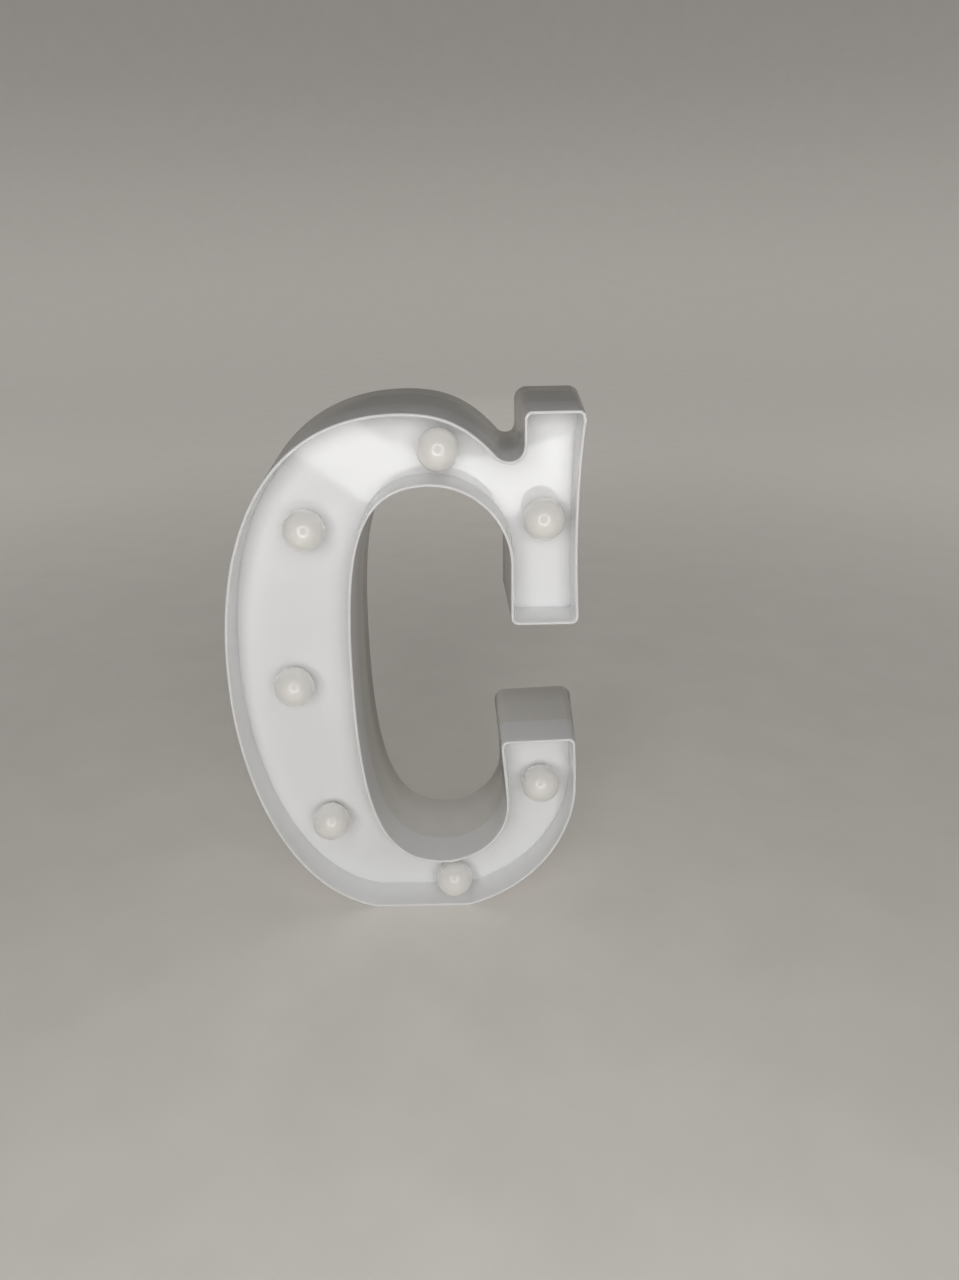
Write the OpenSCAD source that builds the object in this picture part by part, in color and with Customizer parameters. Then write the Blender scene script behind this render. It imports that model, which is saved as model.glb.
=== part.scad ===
// Light-up marquee letter: a battery lamp in the shape of a slab-serif capital C.
// It is built lying on its back, x to the right, y up the letter and z towards the viewer,
// and then stood up: +Z is up, the face looks along -Y and the origin is under its middle.

/* [Letter outline] */
// Width of the front outline
letter_w = 140; // [132:1:160]
// Height of the front outline
letter_h = 218; // [210:1:235]
// Depth from the rim to the back
depth = 44.5; // [42:0.5:55]
// Width of the left stem
stem_w = 50; // [47:0.5:56]
// Thickness of the top stroke
top_w = 26.6; // [24:0.2:32]
// Thickness of the bottom stroke
base_w = 25; // [24:0.2:32]
// Height of the widest point of the stem
waist_h = 107; // [102:1:112]
// Width of the upper terminal
upper_w = 27.2; // [25:0.2:32]
// Width of the lower terminal
lower_w = 29.2; // [26:0.2:34]
// Width of the serif above the upper terminal
serif_w = 22.4; // [20:0.2:24]
// Drop from the top to the valley beside the serif
valley_drop = 17.4; // [14:0.2:20]
// Hollow of the right side between the serif and the upper terminal
side_hollow = 2.2; // [0:0.1:3]
// Drop from the top to the end of the upper terminal
upper_drop = 81.7; // [76:0.5:90]
// Height of the end of the lower terminal
lower_end = 84.3; // [80:0.5:92]
// Rise of the lower terminal's end towards the outside
lower_rise = 1; // [0:0.1:2]
// Lean of the lower terminal's inner side
lower_lean = 2.2; // [0:0.1:3]
// Reach of the flat foot to the left of the middle
foot_left = 17; // [14:0.5:24]
// Reach of the flat foot to the right of the middle
foot_right = 24; // [18:0.5:28]
// Radius of the corners of the outline
corner_r = 3; // [2.6:0.1:4]

/* [Shell] */
// Thickness of the rim
rim_t = 1.2; // [1:0.1:1.6]
// Thickness of the side wall behind the tray
wall = 1.8; // [1.4:0.1:2.2]
// Growth of the outline from the rim to the back, on each side
draft = 1.8; // [0.4:0.1:2.2]
// Depth of the recess from the rim to the tray
recess = 14.8; // [12:0.2:17]
// Growth of the wall inside the recess, from the rim to the tray
recess_draft = 0.3; // [0:0.1:0.6]
// Thickness of the tray that carries the bulbs
tray_t = 2; // [1.6:0.1:2.6]
// Thickness of the back cover
cover_t = 2; // [1.8:0.1:2.6]
// Gap between the back cover and the wall round it
cover_gap = 0.25; // [0.1:0.05:0.4]

/* [Bulbs] */
// Diameter of a bulb's globe
bulb_d = 16; // [13:0.2:16.6]
// Height of the centre of a globe over the tray
bulb_rise = 8.9; // [8:0.1:10]
// Thickness of a bulb
bulb_t = 0.8; // [0.7:0.1:1]
// Diameter of the neck between a globe and the tray
neck_d = 8; // [7.6:0.1:8.4]
// Diameter of the stem that goes through the tray
stem_d = 7; // [6.6:0.1:7.2]
// Gap between a stem and its hole
bulb_gap = 0.1; // [0.05:0.05:0.2]
// Thickness of the flange of a lamp plug
plug_t = 1.5; // [1.2:0.1:2]
// Width of a lamp plug's flange past the stem
plug_lip = 2; // [1.6:0.1:2.6]
// Reach of a lamp plug into its stem
plug_reach = 3; // [2:0.1:4]
// Diameter of a light-emitting diode
led_d = 3; // [2.6:0.1:3.2]
// Height of a diode over its flange
led_h = 5.2; // [4.6:0.1:6]
// Distance between the two leads of a diode
lead_pitch = 2.54; // [2:0.02:3]
// Thickness of a lead
lead_t = 0.5; // [0.4:0.05:0.6]
// Length of a lead behind the diode
lead_l = 4.3; // [3.6:0.1:4.6]
// Drop from the top to the bulb in the upper terminal
upper_bulb_drop = 41; // [36:0.5:46]
// Height of the bulb in the lower terminal
lower_bulb_h = 60.3; // [56:0.1:63]
// Place of the bottom bulb to the right of the middle
base_bulb_x = 17.4; // [12:0.2:22]
// Gap between the bottom globe and the wall of the foot
base_bulb_gap = 1.2; // [0.4:0.1:1.6]
// Rise of the stem's bulb over the widest point
stem_bulb_rise = 1.5; // [-3:0.1:4]

/* [Battery bay] */
// Diameter of a cell
cell_d = 14.5; // [13.8:0.1:14.5]
// Length of a cell with its contact button
cell_l = 50.5; // [49:0.1:50.5]
// Gap beside and between the cells
cell_gap = 0.5; // [0.3:0.1:0.8]
// Room for a spring at the end of a cell
spring_room = 5.4; // [4.8:0.1:6]
// Diameter of a spring at its plate
spring_d = 9; // [8:0.2:10]
// Diameter of a spring at the cell
spring_tip_d = 5; // [4.4:0.2:6]
// Diameter of the spring wire
spring_wire = 0.7; // [0.5:0.05:0.7]
// Number of curls of a spring
spring_curls = 4; // [3:1:4]
// Thickness of a contact plate
plate_t = 0.4; // [0.3:0.05:0.5]
// Thickness of the walls of the bay
bay_wall = 1.6; // [1.2:0.1:2]
// Height of the middle of the bay
bay_h = 107; // [104:0.5:110]
// Width of the ledge under the sides of the door
ledge = 1.2; // [0.8:0.1:1.6]
// Reach of the door past the ends of the bay
door_over = 3; // [2.8:0.1:3.4]
// Gap round the door
door_gap = 0.3; // [0.2:0.05:0.4]
// Width of a hook of the door
hook_w = 6; // [4:0.5:7]
// Thickness of a hook of the door
hook_t = 1.2; // [1:0.1:1.4]
// Reach of a hook under the cover
hook_reach = 2.2; // [1.8:0.1:2.6]
// Width of the latch tongue
tongue_w = 10; // [8:0.5:12]
// Length of the latch tongue
tongue_l = 8; // [6:0.5:10]
// Width of the slots beside the latch tongue
tongue_slot = 1; // [0.8:0.1:1.2]

/* [Switch] */
// Rise of the switch over the bay
switch_rise = 22.4; // [20:0.2:25]
// Length of the switch frame
frame_l = 19.7; // [19:0.1:21]
// Width of the switch frame and body
switch_w = 6.5; // [6:0.1:7]
// Thickness of the switch frame
frame_t = 0.5; // [0.4:0.05:0.6]
// Reach of the frame's folded sides over the body
fold_h = 3; // [2:0.1:4]
// Length of the switch body
switch_l = 11; // [10.6:0.1:11.2]
// Depth of the switch body
switch_d = 5.5; // [5:0.1:6]
// Distance between the two screws of the switch
ear_pitch = 15; // [14.8:0.1:15.4]
// Length of the knob along its travel
knob_l = 4; // [3.4:0.1:4]
// Width of the knob
knob_w = 3.4; // [3:0.1:3.6]
// Travel of the knob
knob_travel = 4; // [3:0.1:4]
// Gap round the knob
knob_gap = 0.3; // [0.2:0.05:0.4]
// Depth of the finger dish round the knob
dish_depth = 0.9; // [0.6:0.1:1]
// Reach of the finger dish past the knob's slot
dish_over = 2; // [1.6:0.1:2.4]

/* [Fixings and hanger] */
// Diameter of a cover screw
screw_d = 3; // [2.6:0.1:3.2]
// Diameter of the head of a cover screw
head_d = 5.6; // [5:0.1:5.8]
// Height of the head of a cover screw
head_h = 1.9; // [1.6:0.1:2.2]
// Length of a cover screw under its head
screw_l = 12; // [9:0.5:14]
// Diameter of a screw post of the shell
post_d = 7; // [6:0.1:7.2]
// Depth of a screw well in the cover
well_depth = 6.4; // [5.5:0.1:7.5]
// Thickness of a well's wall and floor
well_t = 1.5; // [1.2:0.1:1.6]
// Gap round a screw in its hole
screw_gap = 0.1; // [0.05:0.05:0.2]
// Diameter of a switch screw
small_screw_d = 2; // [1.8:0.1:2.2]
// Length of a switch screw under its head
small_screw_l = 3.2; // [2.8:0.1:3.4]
// Diameter of the entry hole of the hanging keyhole
key_entry_d = 8.5; // [7.5:0.1:9]
// Width of the slot of the hanging keyhole
key_slot_w = 4.2; // [3.6:0.1:4.6]
// Rise of the slot over the entry hole
key_rise = 8; // [7:0.1:9]
// Place of the keyhole to the left of the middle
key_x = 8; // [5:0.5:9]
// Drop from the top of the letter to the entry hole
key_drop = 17; // [16:0.2:18]

/* [Wiring] */
// Diameter of an insulated wire
wire_d = 1.4; // [1:0.1:1.4]
// Gap between a wire and the lead it is joined to
joint_gap = 0.15; // [0.1:0.05:0.3]
// Diameter of the resistor
resistor_d = 2.4; // [2:0.1:2.6]
// Length of the resistor's body
resistor_l = 6.3; // [5:0.1:6.5]

/* [Hidden] */
$fn = 48;
eps = 0.01;

// Curves of the outline, each as the four points of a cubic curve

half_w = letter_w / 2;
stem_x = -half_w + stem_w / 2;
upper_x = half_w - upper_w;
lower_x = half_w - lower_w;
serif_x = half_w - serif_w;
upper_end = letter_h - upper_drop;
bow_h = 61;
crown_x = 3;
counter_x = 13;
shoulder_back = 10.6;
shoulder_rise = 2.4;
upper_turn = 31.4;
lower_turn = 27.5;

left = [-half_w, waist_h];
crown = [crown_x, letter_h];
shoulder = [serif_x - shoulder_back, letter_h - valley_drop + shoulder_rise];
foot_l = [-foot_left, 0];
foot_r = [foot_right, 0];
right = [half_w, bow_h];
counter_left = [-half_w + stem_w, waist_h];
counter_top = [counter_x, letter_h - top_w];
counter_low = [counter_x, base_w];
upper_side = [upper_x, letter_h - top_w - upper_turn];
lower_side = [lower_x, base_w + lower_turn];

// Point of a cubic curve, and a row of its points without the last one
function on_curve(c, t) =
    let (s = 1 - t)
    s * s * s * c[0] + 3 * s * s * t * c[1] + 3 * s * t * t * c[2] + t * t * t * c[3];
function row(c, n) = [for (i = [0 : n - 1]) on_curve(c, i / n)];
function reversed(c) = [c[3], c[2], c[1], c[0]];

// Place to the left or right at which a curve that only rises or only falls passes a height
function x_on(c, y, low = 0, high = 1, halvings = 20) =
    let (
        t = (low + high) / 2,
        p = on_curve(c, t),
        beyond = (p.y > y) == (c[3].y > c[0].y)
    )
    halvings == 0 ? p.x
    : beyond ? x_on(c, y, low, t, halvings - 1)
    : x_on(c, y, t, high, halvings - 1);

// Quarter of a bowl, from a point with an upright tangent to one with a level tangent
function bowl(p, q, up, over, lift = 0) = [
    p,
    [p.x, p.y + up * (q.y - p.y)],
    [q.x + over * (p.x - q.x), q.y + lift * (p.y - q.y)],
    q
];

bowl_low = bowl(left, foot_l, 0.45, 0.66, 0.07);
bowl_top = bowl(left, crown, 0.56, 0.71);
crown_pull = [15.5, 0];
shoulder_pull = [-9.8, 10.6];
shoulder_run = [crown, crown + crown_pull, shoulder + shoulder_pull, shoulder];
counter_upper_right = bowl(upper_side, counter_top, 0.57, 0.53);
counter_upper_left = bowl(counter_left, counter_top, 0.72, 0.82);
counter_lower_left = bowl(counter_left, counter_low, 0.71, 0.74);
counter_lower_right = bowl(lower_side, counter_low, 0.54, 0.54);
bowl_right = bowl(right, foot_r, 0.36, 0.69, 0.17);

// Sides of the stem at a height
function stem_left(y) = x_on(y < waist_h ? bowl_low : bowl_top, y);
function stem_right(y) = x_on(y < waist_h ? counter_lower_left : counter_upper_left, y);

// Corners of the serif and the terminals, the outer ones a little in from the widest point
serif_in = 0.2;
upper_in = 1;
lower_in = 0.8;
serif_tl = [serif_x, letter_h];
serif_tr = [half_w - serif_in, letter_h];
upper_br = [half_w - upper_in, upper_end];
upper_bl = [upper_x, upper_end];
lower_tl = [lower_x - lower_lean, lower_end];
lower_tr = [half_w - lower_in, lower_end + lower_rise];

function unit(v) = v / norm(v);

// Rounded corner at p between the directions to a and b
corner_pull = 0.45;
function corner(a, p, b, n = 4) =
    let (u = corner_r * unit(a - p), v = corner_r * unit(b - p))
    row([p + u, p + corner_pull * u, p + corner_pull * v, p + v], n);

// Fillet of the valley between the shoulder and the serif
valley_dip = 1.6;
valley_low = letter_h - valley_drop - valley_dip;
valley_rise = 5.6;
valley_turn = 2.6;
valley = [
    shoulder,
    [shoulder.x + valley_turn, valley_low],
    [serif_x, valley_low],
    [serif_x, letter_h - valley_drop + valley_rise]
];
// Hollow right side from the serif to the upper terminal
side_top = serif_tr + [0, -corner_r];
side_low = upper_br + [0, corner_r];
hollow_pull = 0.6;
hollow_x = half_w - side_hollow - hollow_pull;
hollow_top = 20;
hollow_low = 25;
right_side = [
    side_top,
    [hollow_x, side_top.y - hollow_top],
    [hollow_x, side_low.y + hollow_low],
    side_low
];
// Sides of the lower terminal
side_pull = [0, 8];
lean_pull = [lower_lean / 3, -12];
bulge_pull = [0.3, -10];
lower_inside = [lower_side, lower_side + side_pull, lower_tl + lean_pull, lower_tl + [0, -corner_r]];
lower_outside = [lower_tr + [0, -corner_r], lower_tr + bulge_pull, right + side_pull, right];

// The whole outline, clockwise as the viewer sees it, from the left end of the foot
outline = concat(
    row(reversed(bowl_low), 14),
    row(bowl_top, 18),
    row(shoulder_run, 7),
    row(valley, 6),
    [valley[3]],
    corner(valley[3], serif_tl, serif_tr),
    corner(serif_tl, serif_tr, right_side[1]),
    row(right_side, 6),
    corner(right_side[2], upper_br, upper_bl),
    corner(upper_br, upper_bl, upper_side),
    [upper_bl + [0, corner_r]],
    row(counter_upper_right, 9),
    row(reversed(counter_upper_left), 15),
    row(counter_lower_left, 15),
    row(reversed(counter_lower_right), 9),
    row(lower_inside, 4),
    corner(lower_inside[2], lower_tl, lower_tr),
    corner(lower_tl, lower_tr, lower_outside[1]),
    row(lower_outside, 3),
    row(bowl_right, 12),
    [foot_r]
);
count = len(outline);

// Direction in which each corner of the outline moves when its sides move out by 1 mm
function left_of(a, b) = let (d = unit(b - a)) [-d.y, d.x];
spread = [
    for (i = [0 : count - 1])
        let (
            m = left_of(outline[(i + count - 1) % count], outline[i]),
            n = left_of(outline[i], outline[(i + 1) % count])
        )
        (m + n) / (1 + m * n)
];

// Outline moved out by a distance, and kept over a floor so that the foot stays level
function ring(out, floor = 0) = [
    for (i = [0 : count - 1])
        let (p = outline[i] + out * spread[i])
        [p.x, max(p.y, floor)]
];

// Heights over the back plane, towards the viewer
tray_front = depth - recess;
tray_back = tray_front - tray_t;
tray_mid = tray_front - tray_t / 2;
function grown(z) = draft * (depth - z) / depth;

// Section of the wall: height, distance out from the front outline, and floor
rim_r = rim_t / 2;
rim_steps = 6;
wall_section = concat(
    [[0, draft, 0]],
    [
        for (i = [0 : rim_steps])
            let (a = 180 * i / rim_steps)
            [depth - rim_r + rim_r * sin(a), rim_r * (cos(a) - 1), 0]
    ],
    [
        [tray_mid + tray_t / 4, -rim_t - recess_draft, 0],
        [tray_mid - tray_t / 4, grown(tray_mid) - wall, wall],
        [0, draft - wall, wall]
    ]
);

// Point on a line across the stroke, and the places of the bulbs in its middle
function across(a, t, b, u, share = 0.5) = (1 - share) * on_curve(a, t) + share * on_curve(b, u);
bulb_r = bulb_d / 2;
stem_r = stem_d / 2;
upper_mid = upper_x + (upper_w - side_hollow) / 2;
lower_mid = lower_x + lower_w / 2;
bulb_at = [
    across(shoulder_run, 0.26, counter_upper_right, 0.87),
    across(bowl_top, 0.48, counter_upper_left, 0.42),
    [upper_mid, letter_h - upper_bulb_drop],
    [stem_x, waist_h + stem_bulb_rise],
    across(bowl_low, 0.49, counter_lower_left, 0.48),
    [lower_mid, lower_bulb_h],
    [base_bulb_x, rim_t + recess_draft + base_bulb_gap + bulb_r]
];
// Direction of the stroke at each bulb, along the wiring
bulb_heading = [180, 237, 90, 270, 303, 90, 5];

plug_back = tray_back - plug_t;
plug_gap = 0.1;
led_flange_t = 1;
led_lip = 0.4;
led_flange_r = led_d / 2 + led_lip;
led_back = plug_back - led_flange_t;

// Battery bay, in the middle of the stem
bay_w = 2 * cell_d + 3 * cell_gap;
bay_l = cell_l + spring_room + 2 * plate_t + cell_gap;
bay_depth = cell_d + 2 * cell_gap;
bay_floor = cover_t + bay_depth;
bay_low = bay_h - bay_l / 2;
bay_high = bay_h + bay_l / 2;
bay_left = max(stem_left(bay_low), stem_left(bay_high));
bay_right = min(stem_right(bay_low), stem_right(bay_high));
bay_x = (bay_left + bay_right) / 2;

// Places of the screw posts: in the serif, the terminals and the strokes between the bulbs
head_gap = 0.4;
well_r = head_d / 2 + head_gap;
well_len = well_depth + well_t;
well_out = well_r + well_t;
seat_gap = 0.1;
screw_hole_r = screw_d / 2 + screw_gap;
pilot_spare = 1;
pilot_depth = screw_l - well_t + pilot_spare;
serif_margin = 11.5;
upper_margin = 10;
lower_margin = 8.6;
post_shift = 0.9;
over_bay = 6.7;
under_bay = 8.7;
from_counter = 8.2;
from_left = 8.8;
from_foot = 2.5;
along_foot = 9;
bay_post_high = bay_high + over_bay + well_out;
bay_post_low = bay_low - under_bay - well_out;
post_at = [
    [(serif_tl.x + hollow_x) / 2 + post_shift, letter_h - serif_margin],
    [upper_mid, upper_end + upper_margin],
    across(bowl_top, 0.66, counter_upper_left, 0.68, 0.32),
    [stem_right(bay_post_high) - from_counter - well_out, bay_post_high],
    [stem_left(bay_post_low) + from_left + well_out, bay_post_low],
    [-foot_left + along_foot, wall + from_foot + well_out],
    across(bowl_right, 0.29, counter_lower_right, 0.12, 0.24),
    [(lower_tl.x + lower_tr.x) / 2 + post_shift, lower_end - lower_margin]
];
ledge_t = 1.5;
ledge_over = 2;
opening_w = bay_w + 2 * ledge;
opening_l = bay_l + 2 * door_over + 2 * door_gap;
door_w = opening_w - 2 * door_gap;
door_l = opening_l - 2 * door_gap;
cell_pitch = cell_d + cell_gap;
cell_z = cover_t + cell_gap + cell_d / 2;
hook_x = 9;
hook_gap = 0.3;
hook_side = 0.5;
hook_room = 1;
hook_swing = hook_t + hook_gap + cover_t / 2 + hook_reach;
plate_rise = 4.4;
plate_gap = 0.4;
plate_low = cover_t + plate_rise;
plate_high = bay_floor - plate_gap;
tab_w = 2.4;
tab_l = 3.4;
tab_gap = 0.2;
tab_z = cell_z;

// Switch on two bosses of the cover, in the middle of the stem over the bay
switch_h = bay_high + switch_rise;
switch_x = (stem_left(switch_h) + stem_right(switch_h)) / 2;
boss_h = 2.2;
boss_r = 2.2;
frame_z = cover_t + boss_h;
body_z = frame_z + frame_t;
slot_l = knob_l + knob_travel + 2 * knob_gap;
slot_w = knob_w + 2 * knob_gap;
knob_tip = 0.3;
foot_t = 1.2;
foot_over = 0.6;
terminal_pitch = 4.7;
terminal_l = 3.5;

// Depth from the tips of the bulbs to the back
overall_d = max(depth, tray_front + bulb_rise + bulb_r);

// Stands the letter up, with the middle of its whole depth over the origin
module stand() {
    translate([0, overall_d / 2, 0]) rotate([90, 0, 0]) children();
}

module at(p, z = 0) {
    translate([p.x, p.y, z]) children();
}

// Cylinder from one height to another
module post(r, z0, z1) {
    translate([0, 0, z0]) cylinder(r = r, h = z1 - z0);
}

// Block centred in x and y, from one height to another
module block(w, l, z0, z1) {
    translate([-w / 2, -l / 2, z0]) cube([w, l, z1 - z0]);
}

// Block with round corners
module round_block(w, l, z0, z1, r) {
    block(w - 2 * r, l, z0, z1);
    block(w, l - 2 * r, z0, z1);
    for (x = [-1, 1], y = [-1, 1])
        translate([x * (w / 2 - r), y * (l / 2 - r), 0]) post(r, z0, z1);
}

// Wall of the shell: its section carried round the outline
module shell_wall() {
    rings = len(wall_section);
    points = [
        for (s = wall_section, p = ring(s[1], s[2])) [p.x, p.y, s[0]]
    ];
    faces = [
        for (k = [0 : rings - 1], i = [0 : count - 1])
            let (j = (i + 1) % count, m = (k + 1) % rings)
            [k * count + i, k * count + j, m * count + j, m * count + i]
    ];
    polyhedron(points, faces);
}

module front_shell() {
    color("white") stand() difference() {
        union() {
            shell_wall();
            translate([0, 0, tray_back]) linear_extrude(tray_t) polygon(ring(-rim_t / 4));
            for (p = post_at) at(p) post(post_d / 2, well_len + seat_gap, tray_mid);
        }
        for (p = bulb_at) at(p) post(stem_r + bulb_gap, tray_back - eps, tray_front + eps);
        for (p = post_at) at(p) post(screw_hole_r, well_len, well_len + pilot_depth);
    }
}

// Bay for the cells under the cover, with the ledge that the door rests on
module bay_shell() {
    block(opening_w + 2 * ledge_over, opening_l + 2 * ledge_over, cover_t - eps, cover_t + ledge_t);
    block(bay_w + 2 * bay_wall, bay_l + 2 * bay_wall, cover_t, bay_floor + bay_wall);
}

module bay_cuts() {
    block(opening_w, opening_l, -eps, cover_t);
    block(bay_w, bay_l, cover_t - eps, bay_floor);
    // Room for the hooks and their swing
    for (x = [-1, 1])
        translate([x * hook_x, -opening_l / 2, 0])
            block(
                hook_w + 2 * hook_side,
                2 * (hook_reach + door_over + hook_room),
                cover_t,
                cover_t + hook_swing
            );
    // Slots for the solder tabs of the upper plates
    for (x = [-1, 1])
        translate([x * cell_pitch / 2, bay_l / 2 + bay_wall / 2, 0])
            block(
                tab_w + 2 * tab_gap,
                2 * bay_wall,
                tab_z - plate_t / 2 - tab_gap,
                tab_z + plate_t / 2 + tab_gap
            );
    // Nail notch at the latch
    translate([0, opening_l / 2, 0]) post(tongue_w / 2, -eps, cover_t / 2);
}

module keyhole() {
    post(key_entry_d / 2, -eps, cover_t + eps);
    translate([0, key_rise / 2, 0]) block(key_slot_w, key_rise, -eps, cover_t + eps);
    translate([0, key_rise, 0]) post(key_slot_w / 2, -eps, cover_t + eps);
}

module back_cover() {
    color("white") stand() difference() {
        union() {
            linear_extrude(cover_t)
                polygon(ring(grown(cover_t) - wall - cover_gap, wall + cover_gap));
            for (p = post_at) at(p) post(well_out, cover_t / 2, well_len);
            at([bay_x, bay_h]) bay_shell();
            for (x = [-1, 1])
                at([switch_x + x * ear_pitch / 2, switch_h]) post(boss_r, cover_t / 2, frame_z);
        }
        for (p = post_at) at(p) {
            post(well_r, -eps, well_depth);
            post(screw_hole_r, well_depth - eps, well_len + eps);
        }
        at([bay_x, bay_h]) bay_cuts();
        at([switch_x, switch_h]) {
            round_block(
                slot_l + 2 * dish_over,
                slot_w + 2 * dish_over,
                -eps,
                dish_depth,
                dish_over
            );
            block(slot_l, slot_w, 0, cover_t + eps);
        }
        for (x = [-1, 1])
            at([switch_x + x * ear_pitch / 2, switch_h])
                post(small_screw_d / 2 + screw_gap, frame_z - small_screw_l, frame_z + eps);
        at([-key_x, letter_h - key_drop]) keyhole();
    }
}

// Hook of the door: a neck on its inner face and a tab that reaches under the cover
module door_hook() {
    low = -door_l / 2;
    edge_r = cover_t / 2;
    tab_base = cover_t + hook_gap;
    translate([-hook_w / 2, low + edge_r, edge_r])
        cube([hook_w, door_over, tab_base + hook_t - edge_r]);
    translate([-hook_w / 2, low - hook_reach, tab_base])
        cube([hook_w, hook_reach + edge_r + door_over, hook_t]);
}

module battery_door() {
    edge_r = cover_t / 2;
    groove_step = 2.4;
    groove_w = 1;
    groove_start = 4;
    grooves = 4;
    nib_w = tongue_w - 2;
    color("white") stand() at([bay_x, bay_h]) difference() {
        union() {
            translate([0, edge_r / 2, 0]) block(door_w, door_l - edge_r, 0, cover_t);
            translate([-door_w / 2, -door_l / 2 + edge_r, edge_r])
                rotate([0, 90, 0]) cylinder(r = edge_r, h = door_w);
            for (x = [-1, 1]) translate([x * hook_x, 0, 0]) door_hook();
            // Nib of the latch
            translate([0, door_l / 2, 0]) block(nib_w, door_gap, edge_r, cover_t);
        }
        // Slots that free the latch tongue
        for (x = [-1, 1])
            translate([x * (tongue_w + tongue_slot) / 2, (door_l - tongue_l) / 2, 0])
                block(tongue_slot, tongue_l + eps, -eps, cover_t + eps);
        // Grip grooves
        for (k = [0 : grooves - 1])
            translate([0, door_l / 2 - tongue_l - groove_start - k * groove_step, 0])
                block(door_w / 2, groove_w, -eps, cover_t / 4);
    }
}

// Cell along +y from its flat end, with its contact button at the far end
module cell() {
    r = cell_d / 2;
    base_edge = 0.6;
    button_r = 2.7;
    button_h = 1.2;
    button_edge = 0.3;
    top_edge = 0.8;
    can = cell_l - button_h;
    rotate([-90, 0, 0]) rotate_extrude() polygon([
        [0, 0],
        [r - base_edge, 0],
        [r, base_edge],
        [r, can - top_edge],
        [r - top_edge, can],
        [button_r, can],
        [button_r, cell_l - button_edge],
        [button_r - button_edge, cell_l],
        [0, cell_l]
    ]);
}

// The left cell stands with its button up and the right one with its button down
left_x = bay_x - cell_pitch / 2;
right_x = bay_x + cell_pitch / 2;
cell_low = bay_low + plate_t;
cell_high = bay_high - plate_t;

module cells() {
    color("dimgray") stand() {
        translate([left_x, cell_low + spring_room, cell_z]) cell();
        translate([right_x, cell_high - spring_room, cell_z]) rotate([0, 0, 180]) cell();
    }
}

// Tube of a given radius along a row of points
function ring_axis(p, i) = unit(p[min(i + 1, len(p) - 1)] - p[max(i - 1, 0)]);
function turned(u, t) = unit(u - (u * t) * t);
function side_dirs(p, first) = [
    for (i = 0, u = turned(first, ring_axis(p, 0)); i < len(p);
        i = i + 1, u = i < len(p) ? turned(u, ring_axis(p, i)) : u) u
];

module tube(p, r, sides, first = [0, 0, 1]) {
    n = len(p);
    dirs = side_dirs(p, first);
    points = [
        for (i = [0 : n - 1], k = [0 : sides - 1])
            let (v = cross(ring_axis(p, i), dirs[i]), a = 360 * k / sides)
            p[i] + r * (cos(a) * dirs[i] + sin(a) * v)
    ];
    sides_of = [
        for (i = [0 : n - 2], k = [0 : sides - 1])
            let (m = (k + 1) % sides)
            [i * sides + k, (i + 1) * sides + k, (i + 1) * sides + m, i * sides + m]
    ];
    first_cap = [for (k = [0 : sides - 1]) k];
    last_cap = [for (k = [sides - 1 : -1 : 0]) (n - 1) * sides + k];
    polyhedron(points, concat(sides_of, [first_cap, last_cap]));
}

// Centre line of a conical spring along +y, from its plate to the cell
spring_rings = 8;
spring_steps = spring_curls * spring_rings;
spring_run = spring_room - spring_wire - 2 * joint_gap;
spring_line = [
    for (i = [0 : spring_steps])
        let (
            t = i / spring_steps,
            r = ((1 - t) * spring_d + t * spring_tip_d) / 2 - spring_wire / 2,
            a = 360 * spring_curls * t
        )
        [r * cos(a), joint_gap + spring_wire / 2 + t * spring_run, r * sin(a)]
];
spring_self_gap = min([
    for (i = [0 : spring_steps], j = [i + spring_rings / 2 : 1 : spring_steps])
        norm(spring_line[i] - spring_line[j])
]) - spring_wire;
echo(spring_self_gap = spring_self_gap);

module cell_spring() {
    tube(spring_line, spring_wire / 2, 6, [1, 0, 0]);
}

module cell_springs() {
    color("silver") stand() {
        translate([left_x, cell_low, cell_z]) cell_spring();
        translate([right_x, cell_high, cell_z]) rotate([0, 0, 180]) cell_spring();
    }
}

// Contact plate on an end wall of the bay, with its inner face at height y
module contact_plate(x, y, w) {
    translate([x - w / 2, y, plate_low]) cube([w, plate_t, plate_high - plate_low]);
}

// Solder tab of an upper plate, out through its slot in the wall
module solder_tab(x) {
    translate([x - tab_w / 2, cell_high + plate_t / 2, tab_z - plate_t / 2])
        cube([tab_w, plate_t / 2 + bay_wall + tab_l, plate_t]);
}

// Raised contact for the button of a cell, towards the cell
module contact_dimple(x, y, dir) {
    dimple_r = 2;
    translate([x, y, cell_z]) rotate([-90 * dir, 0, 0])
        translate([0, 0, -eps]) cylinder(r = dimple_r, h = cell_gap - joint_gap);
}

module bridge_plate() {
    color("silver") stand() {
        contact_plate(bay_x, cell_low - plate_t, bay_w - 2 * cell_gap);
        contact_dimple(right_x, cell_low, 1);
    }
}

upper_plate_w = cell_d - 2;

module plus_plate() {
    color("silver") stand() {
        contact_plate(left_x, cell_high, upper_plate_w);
        contact_dimple(left_x, cell_high, -1);
        solder_tab(left_x);
    }
}

module minus_plate() {
    color("silver") stand() {
        contact_plate(right_x, cell_high, upper_plate_w);
        solder_tab(right_x);
    }
}

module switch_frame() {
    color("silver") stand() at([switch_x, switch_h]) difference() {
        union() {
            round_block(frame_l, switch_w, frame_z, body_z, 1);
            // Two sides folded down over the body
            for (y = [-1, 1])
                translate([0, y * ((switch_w + frame_t) / 2 - eps), 0])
                    block(switch_l, frame_t, frame_z, body_z + fold_h);
        }
        block(slot_l, slot_w, frame_z - eps, body_z + eps);
        for (x = [-1, 1])
            translate([x * ear_pitch / 2, 0, 0])
                post(small_screw_d / 2 + screw_gap, frame_z - eps, body_z + eps);
    }
}

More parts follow.
